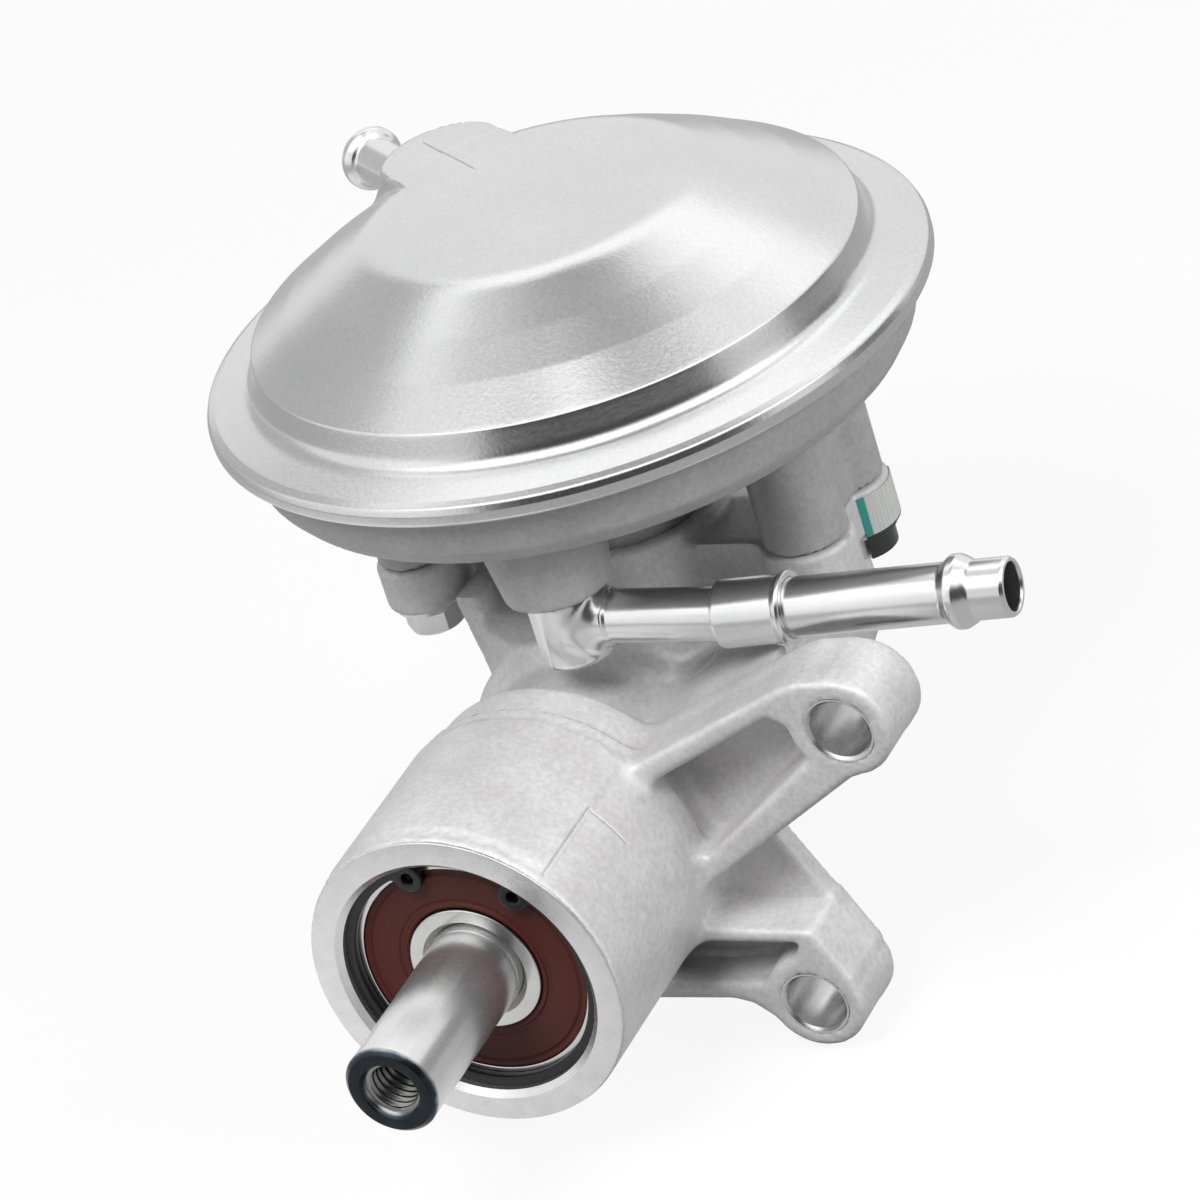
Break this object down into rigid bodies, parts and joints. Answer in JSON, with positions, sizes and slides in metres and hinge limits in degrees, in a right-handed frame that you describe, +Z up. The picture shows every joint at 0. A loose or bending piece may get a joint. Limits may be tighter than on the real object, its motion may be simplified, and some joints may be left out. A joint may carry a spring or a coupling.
{
  "type": "diaphragm vacuum pump",
  "caption": "Shaft driven diaphragm vacuum pump with a crimped round chamber cover, cast bearing housing, mounting ears, inlet tube and outlet nipple.",
  "frame": {"origin": "on the drive shaft's axis, in the plane of the bearing housing's front ring", "axes": "+Y along the shaft, from its free end into the pump; +Z up along the diaphragm's axis; +X towards the mounting ears"},
  "size_m": [0.1574, 0.1944, 0.139],
  "materials": {
    "cast_aluminium_lower": "die cast, matte",
    "cast_aluminium_upper": "die cast, matte",
    "zinc_sheet": "zinc plated, satin",
    "zinc_tube": "zinc plated, bright",
    "ground_steel": "ground and polished",
    "bearing_steel": "ground",
    "seal_rubber": "matte red brown",
    "black_spring_steel": "phosphated black",
    "zinc_bolt": "zinc plated",
    "seal_film": "pale film with coloured edges",
    "cage_plastic": "moulded",
    "diaphragm_rubber": "matte",
    "valve_rubber": "smooth",
    "rod_steel": "machined",
    "plate_steel": "pressed, zinc plated"
  },
  "bodies": {
    "pump_frame": {"front_bearing_outer_ring": "bearing_steel", "front_bearing_front_seal": "seal_rubber", "front_bearing_rear_seal": "seal_rubber", "rear_bearing_outer_ring": "bearing_steel", "rear_bearing_seals": "seal_rubber", "bearing_circlip": "black_spring_steel", "diaphragm": "diaphragm_rubber", "chamber_cover": "zinc_sheet", "outlet_nipple": "zinc_tube", "pump_body": "cast_aluminium_upper", "bearing_housing": "cast_aluminium_lower", "rear_plug": "plate_steel", "body_bolts": "zinc_bolt", "tamper_seal": "seal_film", "inlet_fitting": "zinc_tube", "inlet_stub_tube": "zinc_tube", "inlet_sleeve": "zinc_tube", "inlet_hose_tube": "zinc_tube", "inlet_valve_seat": "plate_steel", "inlet_valve": "valve_rubber", "rod_boot": "valve_rubber", "boot_retainer": "plate_steel", "neck_seal_ring": "valve_rubber"},
    "shaft": {"drive_shaft": "ground_steel", "front_bearing_inner_ring": "bearing_steel", "rear_bearing_inner_ring": "bearing_steel", "bearing_spacer": "rod_steel", "eccentric_hub": "rod_steel", "counterweight": "rod_steel", "hub_snap_ring": "black_spring_steel", "crank_bearing_inner_ring": "bearing_steel"},
    "rod": {"connecting_rod": "rod_steel", "crank_bearing_outer_ring": "bearing_steel", "lower_diaphragm_plate": "plate_steel", "upper_diaphragm_plate": "plate_steel", "diaphragm_screw": "zinc_bolt", "transfer_valves": "valve_rubber"},
    "front_ball_set": {"front_bearing_balls": "bearing_steel", "front_bearing_cage": "cage_plastic"},
    "rear_ball_set": {"rear_bearing_balls": "bearing_steel", "rear_bearing_cage": "cage_plastic"},
    "crank_ball_set": {"crank_bearing_balls": "bearing_steel", "crank_bearing_cage": "cage_plastic"}
  },
  "joints": [
    {"name": "shaft_spin", "type": "hinge", "parent": "pump_frame", "child": "shaft", "pos_m": [0, 0, 0], "axis": [0, 1, 0], "continuous": true, "deforming": ["diaphragm", "rod_boot"]},
    {"name": "front_balls_roll", "type": "hinge", "parent": "pump_frame", "child": "front_ball_set", "pos_m": [0, 0.011, 0], "axis": [0, 1, 0], "continuous": true},
    {"name": "rear_balls_roll", "type": "hinge", "parent": "pump_frame", "child": "rear_ball_set", "pos_m": [0, 0.062, 0], "axis": [0, 1, 0], "continuous": true},
    {"name": "rod_on_crank", "type": "hinge", "parent": "shaft", "child": "rod", "pos_m": [0, 0.0965, -0.0025], "axis": [0, 1, 0], "continuous": true},
    {"name": "crank_balls_roll", "type": "hinge", "parent": "shaft", "child": "crank_ball_set", "pos_m": [0, 0.0965, -0.0025], "axis": [0, 1, 0], "continuous": true}
  ],
  "couplings": [
    {"joint": "front_balls_roll", "follows": "shaft_spin", "ratio": 0.36562},
    {"joint": "rear_balls_roll", "follows": "shaft_spin", "ratio": 0.38421},
    {"joint": "rod_on_crank", "follows": "shaft_spin", "ratio": -1},
    {"joint": "crank_balls_roll", "follows": "shaft_spin", "ratio": -0.59474}
  ]
}
